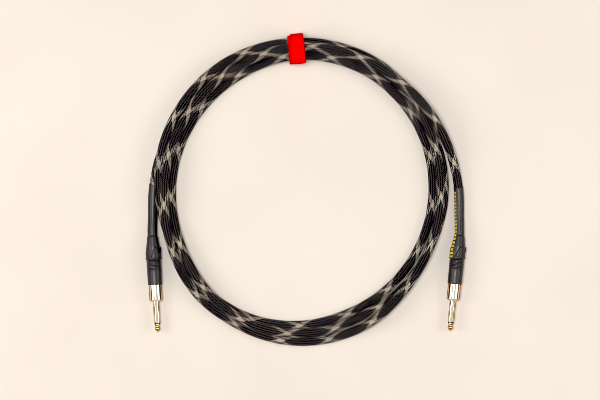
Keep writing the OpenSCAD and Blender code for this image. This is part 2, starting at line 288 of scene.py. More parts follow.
def tube_faces(rows, columns):
    """Faces of a tube whose outer grid of points comes first and whose inner grid follows."""
    inner = rows * columns
    last = (rows - 1) * columns
    return [
        grid(rows, columns),
        grid(rows, columns, first=inner, inward=True),
        end_ring(0, inner, columns, facing_ahead=False),
        end_ring(last, inner + last, columns, facing_ahead=True),
    ]


def spokes(across, up, radius, angle):
    """Offsets from an axis, at a radius and an angle for each point."""
    return radius[..., None] * (np.cos(angle)[..., None] * across + np.sin(angle)[..., None] * up)


def around(stations, radius, angle):
    """Rings of points round stations of a route, at (rows, columns) radii and angles."""
    centre, across, up, _ = (v[:, None, :] for v in stations)
    return centre + spokes(across, up, radius, angle)


def swept_tube(name, distances, outer, inner, sides, material):
    """A round tube along the cable's route."""
    angle = np.arange(sides) * TURN / sides + np.zeros((len(distances), 1))
    stations = route(distances)
    rings = [around(stations, np.full_like(angle, r), angle).reshape(-1, 3) for r in (outer, inner)]
    return new_piece(name, np.concatenate(rings), tube_faces(len(distances), sides), [material])


def disc(first, count, facing_ahead):
    """A fan of triangles over a ring of points."""
    k = np.arange(1, count - 1)
    fan = np.stack([np.full_like(k, first), first + k, first + k + 1], axis=-1)
    return fan if facing_ahead else fan[:, ::-1]


CORNER_SHARE = 0.45  # the most of a side that one rounded corner may take up
CORNER_STEPS = 4


def rounded(outline, radius):
    """A closed outline with every corner rounded, by at most the given radius."""
    outline = np.array(outline, float)
    out = []
    for i, corner in enumerate(outline):
        before = outline[i - 1] - corner
        after = outline[(i + 1) % len(outline)] - corner
        shorter = min(np.linalg.norm(before), np.linalg.norm(after))
        cut = min(radius, CORNER_SHARE * shorter)
        start, end = corner + cut * unit(before), corner + cut * unit(after)
        for t in np.linspace(0, 1, CORNER_STEPS + 1):
            out.append((1 - t) ** 2 * start + 2 * t * (1 - t) * corner + t**2 * end)
    return np.array(out)


def seam(rows, columns):
    """Quads that join the last row of a grid to its first."""
    k = np.arange(columns)
    n = (k + 1) % columns
    last = (rows - 1) * columns
    return np.stack([last + k, last + n, n, k], axis=-1)


TURNED_SIDES = 96


def turned(name, side, outline, material):
    """A lathe-turned piece: a closed outline of (z, radius) spun round a plug's axis."""
    z, radius = np.array(outline).T
    angle = np.arange(TURNED_SIDES) * TURN / TURNED_SIDES + np.zeros((len(z), 1))
    points = around(near_plug(side, z), np.repeat(radius[:, None], TURNED_SIDES, axis=1), angle)
    faces = [grid(len(z), TURNED_SIDES), seam(len(z), TURNED_SIDES)]
    return new_piece(name, points.reshape(-1, 3), faces, [material])


# ---- materials ----


MIX_SHARE, MIX_A, MIX_B, MIX_COLOUR = 0, 6, 7, 2  # a Mix node's inputs for colours, and its output


class Shader:
    """A Principled material and the few nodes that its patterns are made from."""

    def __init__(self, name, **values):
        self.material = bpy.data.materials.new(name)
        self.material.use_nodes = True
        self.tree = self.material.node_tree
        self.surface = self.tree.nodes["Principled BSDF"]
        for socket, value in values.items():
            self.surface.inputs[socket.replace("_", " ")].default_value = value
        self.place = self.tree.nodes.new("ShaderNodeTexCoord").outputs["Object"]

    def node(self, kind, inputs):
        """A new node, with each input linked to a socket or set to a value."""
        made = self.tree.nodes.new(kind)
        for key, value in inputs.items():
            if isinstance(value, bpy.types.NodeSocket):
                self.tree.links.new(value, made.inputs[key])
            else:
                made.inputs[key].default_value = value
        return made

    def noise(self, size_mm, detail=2.0, stretch=(1, 1, 1)):
        """Noise from 0 to 1 with features of about size_mm."""
        place = self.node("ShaderNodeMapping", {"Vector": self.place, "Scale": stretch}).outputs[0]
        inputs = {"Vector": place, "Scale": 1 / (size_mm * MM), "Detail": detail}
        return self.node("ShaderNodeTexNoise", inputs).outputs[0]

    def cells(self, size_mm):
        """Distance from the middle of the nearest of many cells of about size_mm."""
        inputs = {"Vector": self.place, "Scale": 1 / (size_mm * MM)}
        return self.node("ShaderNodeTexVoronoi", inputs).outputs[0]

    def ramp(self, value, low, high, start=0.35, end=0.65):
        """Colours or greys from low to high as value goes from start to end."""
        made = self.node("ShaderNodeValToRGB", {"Fac": value})
        ends = made.color_ramp.elements
        for element, position, colour in zip(ends, (start, end), (low, high)):
            element.position = position
            element.color = (*colour, 1) if isinstance(colour, tuple) else (colour, colour, colour, 1)
        return made.outputs[0]

    def blend(self, share, a, b, mode="MIX"):
        """Colour a mixed with colour b, by a share of b."""
        made = self.tree.nodes.new("ShaderNodeMix")
        made.data_type = "RGBA"
        made.blend_type = mode
        for index, value in ((MIX_SHARE, share), (MIX_A, a), (MIX_B, b)):
            if isinstance(value, bpy.types.NodeSocket):
                self.tree.links.new(value, made.inputs[index])
            else:
                made.inputs[index].default_value = (*value, 1) if isinstance(value, tuple) else value
        return made.outputs[MIX_COLOUR]

    def drive(self, socket, value):
        """Links a value to one of the surface's inputs."""
        self.tree.links.new(value, self.surface.inputs[socket])

    def bumps(self, height, depth_mm, strength=1.0):
        """Raises the surface by up to depth_mm where height is 1."""
        inputs = {"Height": height, "Distance": depth_mm * MM, "Strength": strength}
        self.drive("Normal", self.node("ShaderNodeBump", inputs).outputs[0])
        return self


def yarn_material(name, dark, light, roughness, specular):
    """Spun yarn: fine fibres, slow changes of shade along the cable and an uneven sheen."""
    s = Shader(name, Specular_IOR_Level=specular)
    fibre = s.noise(0.35, detail=3.0)
    base = s.ramp(fibre, dark, light)
    drift = s.ramp(s.noise(80.0, detail=1.0), (1.0, 0.95, 0.95), (0.92, 0.93, 1.0))
    s.drive("Base Color", s.blend(1.0, base, drift, "MULTIPLY"))
    s.drive("Roughness", s.ramp(s.noise(1.5), roughness, roughness + 0.12))
    return s.bumps(fibre, 0.06).material


RIM_REFLECTION_START = 0.24  # how far metal turns away from the eye before the painted reflection of warm surroundings starts
RIM_REFLECTION_END = 0.62  # and where that painted reflection is full


def metal_material(name, low, high, roughness, grain_mm=0.5, edge=(0.5, 0.29, 0.11)):
    """Polished metal with a warm specular tint, a painted warm reflection where it turns from the eye, faint
    turning lines and smudges.
    """
    s = Shader(name, Metallic=1.0)
    s.surface.inputs["Specular Tint"].default_value = (*edge, 1)
    # The edge colour is also mixed into the base colour where the metal turns from the eye: a painted reflection
    # of dark, warm surroundings.
    turned_away = s.node("ShaderNodeLayerWeight", {"Blend": 0.5}).outputs["Facing"]
    painted_rim_reflection = s.ramp(turned_away, 0.0, 1.0, RIM_REFLECTION_START, RIM_REFLECTION_END)
    s.drive("Base Color", s.blend(painted_rim_reflection, s.ramp(s.noise(6.0), low, high), edge))
    smudge = s.ramp(s.noise(4.0, detail=4.0), roughness, roughness + 0.08)
    s.drive("Roughness", smudge)
    lines = s.noise(grain_mm, detail=1.0, stretch=(0.15, 4.0, 0.15))
    return s.bumps(lines, 0.004, 0.5).material


def plastic_material(name, low, high, rough_low, rough_high, grain_mm=0.6, **values):
    """Moulded or extruded plastic with a fine skin texture."""
    s = Shader(name, **values)
    s.drive("Base Color", s.ramp(s.noise(5.0, detail=3.0), low, high))
    s.drive("Roughness", s.ramp(s.noise(2.5, detail=3.0), rough_low, rough_high))
    return s.bumps(s.noise(grain_mm, detail=3.0), 0.02).material


def cloth_material(name, low, high):
    """Brushed loop cloth: a dense pile with soft sheen, darker where the pile is low, as painted shade at its
    roots.
    """
    s = Shader(name, Specular_IOR_Level=0.05)
    pile = s.noise(0.3, detail=3.0)
    patches = s.ramp(s.noise(5.0), 0.9, 1.0)
    # The pile's colour follows its height: the low parts are painted darker as shade.
    s.drive("Base Color", s.blend(1.0, s.ramp(pile, low, high), patches, "MULTIPLY"))
    s.drive("Roughness", s.ramp(pile, 0.75, 0.95))
    return s.bumps(pile, 0.15).material


def braided_metal_material(name, low, high):
    """Fine braided wire: crossing bright strands over dark gaps."""
    s = Shader(name, Metallic=1.0)
    strands = s.cells(0.5)
    s.drive("Base Color", s.ramp(strands, high, low, 0.1, 0.8))
    s.drive("Roughness", s.ramp(strands, 0.3, 0.6, 0.1, 0.8))
    return s.bumps(strands, 0.1).material


# Lit and shaded copies of the black yarn: the first is painted light, lighter and glossier, and the second painted
# shade, almost black and matte. They stand in for the glint that yarns of one winding direction catch and the
# others miss.
black_yarn_painted_light = yarn_material("black_yarn_painted_light", (0.02, 0.017, 0.02), (0.062, 0.054, 0.062), 0.28, 0.85)
black_yarn_painted_shade = yarn_material(
    "black_yarn_painted_shade", (0.001, 0.0009, 0.001), (0.004, 0.0035, 0.0045), 0.42, 0.0
)
# Lit and shaded copies of the tan yarn: the first is painted light and the second painted shade, for the same
# glint of one winding direction.
tan_yarn_painted_light = yarn_material("tan_yarn_painted_light", (0.56, 0.48, 0.38), (0.92, 0.83, 0.67), 0.4, 0.5)
tan_yarn_painted_shade = yarn_material("tan_yarn_painted_shade", (0.42, 0.36, 0.28), (0.8, 0.72, 0.57), 0.5, 0.2)
jacket_rubber = plastic_material("jacket_rubber", 0.004, 0.008, 0.6, 0.75)
copper_braid = braided_metal_material("copper_braid", (0.25, 0.12, 0.06), (0.85, 0.55, 0.4))
conductive_skin = plastic_material("conductive_skin", 0.03, (0.05, 0.05, 0.052), 0.7, 0.85)
milky_insulation = plastic_material("milky_insulation", (0.76, 0.75, 0.7), (0.86, 0.85, 0.8), 0.35, 0.5)
bare_copper = metal_material("bare_copper", (0.72, 0.4, 0.26), (0.85, 0.52, 0.36), 0.25, 0.3)
plug_nickel = metal_material("plug_nickel", (0.93, 0.84, 0.7), (0.97, 0.9, 0.78), 0.06)
tip_brass = metal_material("tip_brass", (0.8, 0.52, 0.22), (0.9, 0.66, 0.34), 0.07)
tinned_steel = metal_material("tinned_steel", 0.6, (0.74, 0.74, 0.73), 0.3, edge=(0.8, 0.8, 0.8))
insulator_black = plastic_material("insulator_black", 0.012, 0.022, 0.3, 0.42)
laminate = plastic_material("laminate", (0.2, 0.1, 0.045), (0.31, 0.17, 0.08), 0.55, 0.75, grain_mm=0.3)
clear_tube = plastic_material("clear_tube", (0.62, 0.68, 0.72), (0.74, 0.79, 0.82), 0.15, 0.3)
chuck_white = plastic_material("chuck_white", (0.74, 0.74, 0.71), (0.83, 0.83, 0.8), 0.4, 0.55)
boot_rubber = plastic_material("boot_rubber", (0.018, 0.018, 0.019), (0.028, 0.028, 0.03), 0.5, 0.65)
shrink_skin = plastic_material(
    "shrink_skin", (0.014, 0.0115, 0.016), (0.023, 0.019, 0.026), 0.33, 0.45, 0.9, Specular_IOR_Level=0.45
)
yellow_ink = plastic_material("yellow_ink", (0.55, 0.4, 0.02), (0.75, 0.58, 0.05), 0.5, 0.65, grain_mm=0.3)
red_cloth = cloth_material("red_cloth", (0.6, 0.0, 0.0), (1.0, 0.0, 0.0))
# Darker red for the strap's edges: painted shade, standing in for the shadow line along the flap's edge.
red_painted_edge_shade = cloth_material("red_painted_edge_shade", (0.3, 0.0, 0.0), (0.55, 0.0, 0.0))
hook_plastic = plastic_material("hook_plastic", (0.35, 0.006, 0.006), (0.5, 0.012, 0.01), 0.4, 0.6)

# ---- braided sleeve ----

CARRIERS = 24  # yarns in each direction
PITCH = 48.74  # length of one turn of a yarn round the cable
CROSSING = PITCH / (2 * CARRIERS)  # distance along the cable between crossings of one yarn
BRAID_RADIUS = 4.09
YARN_LIFT = 0.24  # how far a yarn rises and dips over and under the ones it crosses
YARN_HALF_WIDTH = 0.4
TRACER_HALF_WIDTH = 0.31
YARN_HALF_HEIGHT = 0.17
TRACERS = 4  # tan yarns side by side in each direction
FIRST_CROSS = 684.05  # distance from the left boot of a place where the tracers cross on top
SECTION = 500  # crossings in one section of sleeve
WEAVE = 2  # how many yarns a yarn goes over before it goes under as many
# Uneven lay of the yarns: size, change per crossing, change per yarn
ANGLE_WAVES = ((0.014, 0.37, 2.4), (0.009, 0.113, 5.1))
RADIUS_WAVES = ((0.02, 0.23, 3.3),)


def tracer_ids(direction):
    """Which yarns are tan: the two groups meet on top of the cable at FIRST_CROSS."""
    crossing = round((FIRST_CROSS + LEFT_REAR) / CROSSING)
    centre = 0 if direction > 0 else crossing
    return [(centre + k - TRACERS // 2) % CARRIERS for k in range(TRACERS)]


def waves(table, crossings, ids):
    """A slow sway along the cable that differs from yarn to yarn."""
    return sum(size * np.sin(rate * crossings + shift * ids) for size, rate, shift in table)


def yarn_rings(direction, ids, crossings, half_width):
    """Diamond sections (yarn, crossing, corner, xyz) of yarns that wind one way."""
    ids = np.asarray(ids)[:, None]
    q = np.asarray(crossings)[None, :]
    start = TURN / 4 - math.pi * (FIRST_CROSS + LEFT_REAR) / CROSSING / CARRIERS
    angle = start + direction * math.pi * q / CARRIERS + TURN * ids / CARRIERS + waves(ANGLE_WAVES, q, ids)
    phase = (2 * ids + direction * q) % (2 * WEAVE)
    over = (phase < WEAVE) if direction > 0 else (phase >= WEAVE)
    radius = BRAID_RADIUS + np.where(over, YARN_LIFT, -YARN_LIFT) + waves(RADIUS_WAVES, q, ids)
    centre, across, up, ahead = (v[None] for v in route(q[0] * CROSSING))
    out = np.cos(angle)[..., None] * across + np.sin(angle)[..., None] * up
    sideways = np.cross(ahead, out)
    lead = unit(ahead + direction * (TURN * BRAID_RADIUS / PITCH) * sideways)
    edge = np.cross(out, lead)
    middle = centre + radius[..., None] * out
    corners = (
        middle + YARN_HALF_HEIGHT * out,
        middle + half_width * edge,
        middle - YARN_HALF_HEIGHT * out,
        middle - half_width * edge,
    )
    return np.stack(corners, axis=2)


def sleeve_piece(name, first, last, tan):
    """All black or all tan yarns between two crossings, as one mesh of closed strands."""
    crossings = np.arange(first, last + 1)
    strands = []
    for direction in (1, -1):
        tans = tracer_ids(direction)
        ids = tans if tan else [i for i in range(CARRIERS) if i not in tans]
        half_width = TRACER_HALF_WIDTH if tan else YARN_HALF_WIDTH
        strands.append(yarn_rings(direction, ids, crossings, half_width))
    rings = np.concatenate(strands)
    count, rows, corners = rings.shape[:3]
    firsts = np.arange(count)[:, None, None] * rows * corners
    walls = (grid(rows, corners, inward=True)[None] + firsts).reshape(-1, 4)
    start_cap = (np.arange(4) + firsts).reshape(-1, 4)
    end_cap = start_cap[:, ::-1] + (rows - 1) * corners
    # Yarns that wind back take the second material, the painted-shade copy; the others take the painted-light
    # copy.
    winds_back = np.arange(count) >= len(strands[0])
    shade = np.concatenate([np.repeat(winds_back, len(f) // count) for f in (walls, start_cap, end_cap)])
    materials = [tan_yarn_painted_light, tan_yarn_painted_shade] if tan else [black_yarn_painted_light, black_yarn_painted_shade]
    piece = new_piece(name, rings.reshape(-1, 3), [walls, start_cap, end_cap], materials, shade)
    return piece


def crossing_at(distance):
    return int(round(distance / CROSSING))


def add_sleeve():
    """The sleeve in sections: one for each tail, and several for the coil."""
    left_split, right_split = (crossing_at(SPLIT[side]) for side in SIDES)
    left_end = crossing_at(LEFT_REAR - plug_span("left", "braided_sleeve")[1])
    right_end = crossing_at(RIGHT_REAR + plug_span("right", "braided_sleeve")[1])
    for side, first, last in (("left", left_end, left_split), ("right", right_split, right_end)):
        for tan, name in ((False, "_sleeve_yarns"), (True, "_sleeve_tracers")):
            piece = sleeve_piece(side + name, first, last, tan)
            bend_with_tail(piece)
            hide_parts(side + "_braided_sleeve")
    tracers = sleeve_piece("coil_sleeve_tracers", left_split, right_split, True)
    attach(tracers, "coil")
    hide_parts("braided_sleeve")
    starts = list(range(left_split, right_split - SECTION // 4, SECTION))
    for number, (first, last) in enumerate(zip(starts, starts[1:] + [right_split]), 1):
        piece = sleeve_piece(f"coil_sleeve_yarns_{number}", first, last, False)
        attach(piece, "coil")
        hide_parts("braided_sleeve")


# ---- inner layers ----

LAYER_STEP = 5.0
LAYER_SIDES = 18
STRANDS = 7  # wires in the conductor: one in the middle and the others round it
STRAND_LAY = 12.0  # length of one turn of the outer wires
STRAND_STEP = 1.5
LOBE_COLUMNS = 4
BUNDLE_RADIUS, LOBE_HEIGHT = 0.36, 0.05

# node, outside radius, inside radius, material, slot
LAYERS = (
    ("outer_jacket", 3.4, 2.55, jacket_rubber, "jacket"),
    ("braided_shield", 2.4, 2.0, copper_braid, "shield_copper"),
    ("conductive_layer", 1.8, 1.4, conductive_skin, "conductive_plastic"),
    ("dielectric", 1.3, 0.5, milky_insulation, "dielectric_plastic"),
)


def conductor(name, distances):
    """A stranded core: a twisted bundle with one lobe for each outer strand."""
    lobes = STRANDS - 1
    columns = LOBE_COLUMNS * lobes
    angle = np.arange(columns) * TURN / columns + TURN * distances[:, None] / STRAND_LAY
    lobe = np.cos(lobes * np.arange(columns) * TURN / columns)
    radius = BUNDLE_RADIUS + LOBE_HEIGHT * lobe + np.zeros_like(angle)
    points = around(route(distances), radius, angle).reshape(-1, 3)
    rows = len(distances)
    faces = [grid(rows, columns), disc(0, columns, False), disc((rows - 1) * columns, columns, True)]
    return new_piece(name, points, faces, [bare_copper])


def stretch(first, last, step):
    """Even places from first to last, about a step apart."""
    return np.linspace(first, last, max(2, int(abs(last - first) / step) + 1))


def layer_spans(node):
    """The parts that a layer is cut into, each with the distances it runs between."""
    left_end = LEFT_REAR - plug_span("left", node)[1]
    right_end = RIGHT_REAR + plug_span("right", node)[1]
    return (
        ("left", left_end, SPLIT["left"]),
        ("coil", SPLIT["left"], SPLIT["right"]),
        ("right", SPLIT["right"], right_end),
    )


def place_layer(piece, part, node):
    """Hides the CAD node that a piece of a layer takes the place of, and hangs a coil piece on the coil's body."""
    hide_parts(node if part == "coil" else f"{part}_{node}")
    if part == "coil":
        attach(piece, "coil")
    else:
        bend_with_tail(piece)


def add_layers():
    """Round layers inside the sleeve and a stranded core, along the coil and into each plug."""
    for node, outer, inner, material, slot in LAYERS:
        for part, first, last in layer_spans(node):
            distances = stretch(first, last, LAYER_STEP)
            piece = swept_tube(f"{part}_{node}_round", distances, outer, inner, LAYER_SIDES, material)
            place_layer(piece, part, node)
    for part, first, last in layer_spans("centre_conductor"):
        piece = conductor(f"{part}_centre_conductor_round", stretch(first, last, STRAND_STEP))
        place_layer(piece, part, "centre_conductor")


# ---- heat-shrink ----

SHRINK_STEP = 0.4
SHRINK_COLUMNS = 112
SHRINK_WALL = 0.3
SHRINK_ON_CABLE = 4.82
BOOT_SHOWS = 0.3  # length of boot that the tube leaves bare at its front end
BOOT_RADIUS = 7  # at the petals
PETALS = 5
PETAL_TURN = math.radians(33)  # angle of the first valley between petals
PETAL_TIP = 10.9
PETAL_ROOT = 20.6
PETAL_HEIGHT = 1.25
PETAL_CURVE = 0.62  # how roundly a petal widens from its tip: 1 is a straight-sided triangle
PETAL_SLOPE = 0.7  # width of the slope at a petal's side
PETAL_SPREAD = 0.25  # the share of that slope that lies outside the petal
PETAL_SINKS = 0.35  # the share of its height that a petal loses by its root
PETALS_END, PETALS_FADE = 24.0, 2.2
GROOVES = tuple(24.75 + 2.6 * k for k in range(4))
GROOVE_DEPTH = 0.62
GROOVE_WIDTH = 0.4
# How the tube bridges small steps: places along the plug, and how much each counts
BRIDGE = ((-0.5, 0.1), (-0.25, 0.22), (0, 0.36), (0.25, 0.22), (0.5, 0.1))
LIP_HEIGHT, LIP_LENGTH = 0.22, 0.7  # flare of the tube's first edge
# Shallow creases: depth, number round the tube, twist along it
CREASES = ((0.025, 3, 0.21), (0.02, 7, -0.13))
# Unevenness of the cut ends: size, waves round the tube, where they start
CUT_WAVES = ((0.16, 3, 1), (0.1, 7, 0))
CUT_REACH = 3  # length of tube that follows a cut end
# Outside of the tube over the boot: place along the plug, radius
SHRINK_OUTLINE = (
    (-1.2, SHRINK_ON_CABLE), (-0.4, SHRINK_ON_CABLE - 0.08), (0.35, 5.3), (PETAL_TIP, 6.85), (13.0, 6.95),
    (PETAL_ROOT, 7.0), (22.6, 7.5), (33.2, 7.5), (34.6, 7.28), (46.5, 7.22), (48.4, 7.16),
)
INK_START = 3  # from the tube's first edge
INK_ANGLE = math.radians(147)
INK_WIDTH = math.radians(42)
INK_PITCH = 3.6
INK_DASH = 2.4
INK_END = 22.5


def boot_relief(z, angle):
    """Radius of the heat-shrink where it shows the boot's petals and grooves."""
    radius = np.interp(z, *np.array(SHRINK_OUTLINE).T) + np.zeros_like(angle)
    share = np.clip((z - PETAL_TIP) / (PETAL_ROOT - PETAL_TIP), 0, 1) + np.zeros_like(angle)
    valley_turn = TURN / PETALS
    from_valley = np.abs((angle - PETAL_TURN + valley_turn / 2) % valley_turn - valley_turn / 2)
    from_petal = (valley_turn / 2 - from_valley) * BOOT_RADIUS
    half_width = (valley_turn / 2) * BOOT_RADIUS * share**PETAL_CURVE
    inside = np.clip((half_width - from_petal) / PETAL_SLOPE + PETAL_SPREAD, 0, 1) * (share > 0)
    fading = np.clip((PETALS_END - z) / PETALS_FADE, 0, 1)
    rise = PETAL_HEIGHT * inside * inside * (3 - 2 * inside)
    radius = radius + rise * fading * (1 - PETAL_SINKS * share)
    for place in GROOVES:
        radius = radius - GROOVE_DEPTH * np.exp(-(((z - place) / GROOVE_WIDTH) ** 2))
    return radius


def shrink_radius(z, angle, start):
    """Radius of the heat-shrink, eased as the tube bridges small steps, with a slightly flared first edge."""
    radius = sum(weight * boot_relief(z + offset, angle) for offset, weight in BRIDGE)
    creases = sum(depth * np.sin(count * angle + twist * z) for depth, count, twist in CREASES)
    lip = LIP_HEIGHT * np.exp(-(z - start) / LIP_LENGTH)
    return radius + creases + lip


def add_heat_shrink(side):
    """One tube over the sleeve's end and the boot, with plain dashes printed along the right one."""
    start = tail_start(side, "heat_shrink")
    end = plug_span(side, "boot")[1] - BOOT_SHOWS
    z = np.arange(start, end + SHRINK_STEP, SHRINK_STEP)[:, None]
    angle = np.arange(SHRINK_COLUMNS)[None] * TURN / SHRINK_COLUMNS + np.zeros_like(z)
    radius = shrink_radius(z, angle, start)
    ragged = sum(size * np.sin(count * angle + shift) for size, count, shift in CUT_WAVES)
    near_end = np.clip((z - end + CUT_REACH) / CUT_REACH, 0, 1)
    near_start = np.clip((start + CUT_REACH - z) / CUT_REACH, 0, 1)
    place = z + (near_end - near_start) * ragged
    outer = rings_on_plug(side, place, radius, angle)
    inner = rings_on_plug(side, place, radius - SHRINK_WALL, angle)
    rows = len(z)
    faces = tube_faces(rows, SHRINK_COLUMNS)
    ink = np.zeros(sum(len(f) for f in faces))
    if side == "right":
        row, column = np.divmod(np.arange((rows - 1) * SHRINK_COLUMNS), SHRINK_COLUMNS)
        along, turn = z[row, 0], angle[0, column]
        in_line = np.abs(turn - INK_ANGLE) < INK_WIDTH / 2
        in_reach = (along < INK_END) & (along > start + INK_START)
        ink[: len(row)] = in_line & in_reach & ((along - start) % INK_PITCH < INK_DASH)
    points = np.concatenate([outer.reshape(-1, 3), inner.reshape(-1, 3)])
    piece = new_piece(side + "_shrink_tube", points, faces, [shrink_skin, yellow_ink], ink)
    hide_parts(side + "_heat_shrink")
    bend_with_tail(piece)


def rings_on_plug(side, z, radius, angle):
    """Points round a plug's axis or the cable behind it, at a (rows, columns) grid of places."""
    centre, across, up, _ = near_plug(side, z)
    return centre + spokes(across, up, radius, angle)


# ---- plug metal ----

GAP = 0.05  # space between surfaces that nearly touch
SHELL_BORE = 4.6
CHAMFER_LENGTH, CHAMFER_DEPTH = 1.3, 1.35
THREAD_RADIUS = 5.5
THREAD_PITCH = 1.0
THREAD_DEPTH = 0.35
THREAD_CHAMFER = 0.3
THREAD_LEAD, THREAD_RUNOUT = 0.6, 1.4  # plain metal before and after the thread
BARREL_BORE = 2.2
SHOULDER_RADIUS = 3.6
SUNK = 0.02  # the shoulder, behind the shell's front
FLANGE_LENGTH = 2.5
ROD_RADIUS = 1.2
ROD_BORE = 0.05  # keeps the closed outline off the axis
COLLAR_LENGTH, COLLAR_STEP = 0.5, 0.1
CONE_END, CONE_RADIUS = 1.3, 2.08
WAIST_END, WAIST_RADIUS = 2.1, 2.05
SWELL_LENGTH = 2.1
NOSE_LENGTH, NOSE_CURVE = 3.1, 1.7


def shell_outline(side):
    """Rear thread, polished body and a chamfered front."""
    rear, front, radius = plug_span(side, "plug_shell")
    boot_end = plug_span(side, "boot")[1]
    flange = plug_span(side, "sleeve_barrel")[0] + FLANGE_LENGTH + GAP
    thread = [(rear, THREAD_RADIUS - THREAD_CHAMFER)]
    for z in np.arange(rear + THREAD_LEAD, boot_end - THREAD_RUNOUT, THREAD_PITCH):
        thread += [(z, THREAD_RADIUS), (z + THREAD_PITCH / 2, THREAD_RADIUS - THREAD_DEPTH)]
    body = [
        (boot_end + GAP, THREAD_RADIUS), (boot_end + GAP, radius),
        (front - CHAMFER_LENGTH, radius), (front, radius - CHAMFER_DEPTH),
    ]
    bore = [
        (front, SHOULDER_RADIUS + GAP), (flange, SHOULDER_RADIUS + GAP),
        (flange, SHELL_BORE), (rear, SHELL_BORE),
    ]
    return thread + body + bore


def barrel_outline(side):
    """Flange and shoulder inside the shell, and the long contact barrel."""
    rear, front, flange_radius = plug_span(side, "sleeve_barrel")
    shell_front = plug_span(side, "plug_shell")[1]
    barrel_radius = frame_mount_radius(side)
    return [
        (rear, flange_radius), (rear + FLANGE_LENGTH, flange_radius), (rear + FLANGE_LENGTH, SHOULDER_RADIUS),
        (shell_front - SUNK, SHOULDER_RADIUS), (shell_front - SUNK, barrel_radius), (front, barrel_radius),
        (front, BARREL_BORE), (rear, BARREL_BORE),
    ]


def frame_mount_radius(side):
    """The jack's radius, from the record's mount."""
    mounts = frame["record"]["mounts"]
    return next(m for m in mounts if m["name"] == side + "_jack")["dims"]["r_mm"]


def tip_outline(side):
    """The rod through the barrel, the waist and the pointed tip."""
    rear, point, radius = plug_span(side, "tip_contact")
    collar = plug_span(side, "tip_insulator")[1] + GAP
    edge = radius - COLLAR_STEP
    waist = [(collar, edge), (collar + COLLAR_LENGTH, edge), (collar + CONE_END, CONE_RADIUS)]
    swell, nose = [], []
    for k in np.linspace(0, 1, 10):
        place = collar + WAIST_END + SWELL_LENGTH * k
        swell.append((place, WAIST_RADIUS + (radius - WAIST_RADIUS) * math.sin(k * math.pi / 2)))
        nose.append((point - NOSE_LENGTH * (1 - k), radius * (1 - k**NOSE_CURVE)))
    rod = [(rear, ROD_RADIUS), (collar, ROD_RADIUS)]
    return rod + waist + swell + nose[1:-1] + [(point, ROD_BORE), (rear, ROD_BORE)]


def add_plug_metal(side):
    parts = (
        ("plug_shell", shell_outline(side), plug_nickel, "plug_metal", 0.22),
        ("sleeve_barrel", barrel_outline(side), plug_nickel, "plug_metal", 0.12),
        ("tip_contact", tip_outline(side), tip_brass, "tip_brass", 0.08),
    )
    for node, outline, material, slot, corner in parts:
        piece = turned(f"{side}_{node}_turned", side, rounded(outline, corner), material)
        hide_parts(f"{side}_{node}")
        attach(piece, side + "_tail")


# ---- strap ----

STRAP_WIDTH = 16.0
STRAP_THICK = 1.6
FLAP_WIDTH = 14.3
FLAP_THICK = 1.3
FLAP_SHIFT = 1.25
STRAP_COLUMNS = 60
ACROSS_POWER, THROUGH_POWER = 0.35, 0.5  # the smaller they are, the squarer the strap's section
PAINTED_SHADE_EDGE = 0.75  # cosine of the angle round the section from which the strap's edge is painted darker red as shade, for the shadow line along the flap's edge
PILE_STEP = 0.45
PILE_HEIGHT = 0.07
PILE_SPREAD = 0.7  # how much a bump takes from its neighbours
SIDE_SWAY, SWAY_PER_ROW = 0.1, 0.21


def strap_directions():
    """Where the strap sits: its centre, across its width, along its length, and up."""
    across = -np.array(joint_of("strap_peel")["axis"])
    along = np.cross(VERTICAL, across)
    band = cad_points("strap_band")
    middle = sum(((band @ v).min() + (band @ v).max()) / 2 * v for v in (across, along))
    return middle, across, along


STRAP_CENTRE, STRAP_ACROSS, STRAP_ALONG = strap_directions()


def on_strap(x, y, z):
    """Points in the strap's own directions, as points of the frame."""
    return STRAP_CENTRE + x[..., None] * STRAP_ACROSS + y[..., None] * STRAP_ALONG + z[..., None] * VERTICAL


def strap_section(width, thick, columns):
    """Offsets across and through a strap, round its section: flat faces and soft selvedges."""
    t = np.arange(columns) * TURN / columns
    x = np.sign(np.cos(t)) * np.abs(np.cos(t)) ** ACROSS_POWER * width / 2
    n = np.sign(np.sin(t)) * np.abs(np.sin(t)) ** THROUGH_POWER * thick / 2
    return x, n


def pile_noise(rows, columns, seed, wrap):
    """Smooth random bumps over a grid that closes round its columns, and round its rows if wrap is set."""
    rough = np.random.default_rng(seed).normal(size=(rows, columns))
    for axis in (0, 1):
        rolled = rough + PILE_SPREAD * (np.roll(rough, 1, axis) + np.roll(rough, -1, axis))
        if axis == 0 and not wrap:
            rolled[[0, -1]] = rough[[0, -1]]
        rough = rolled
    return rough / rough.std()


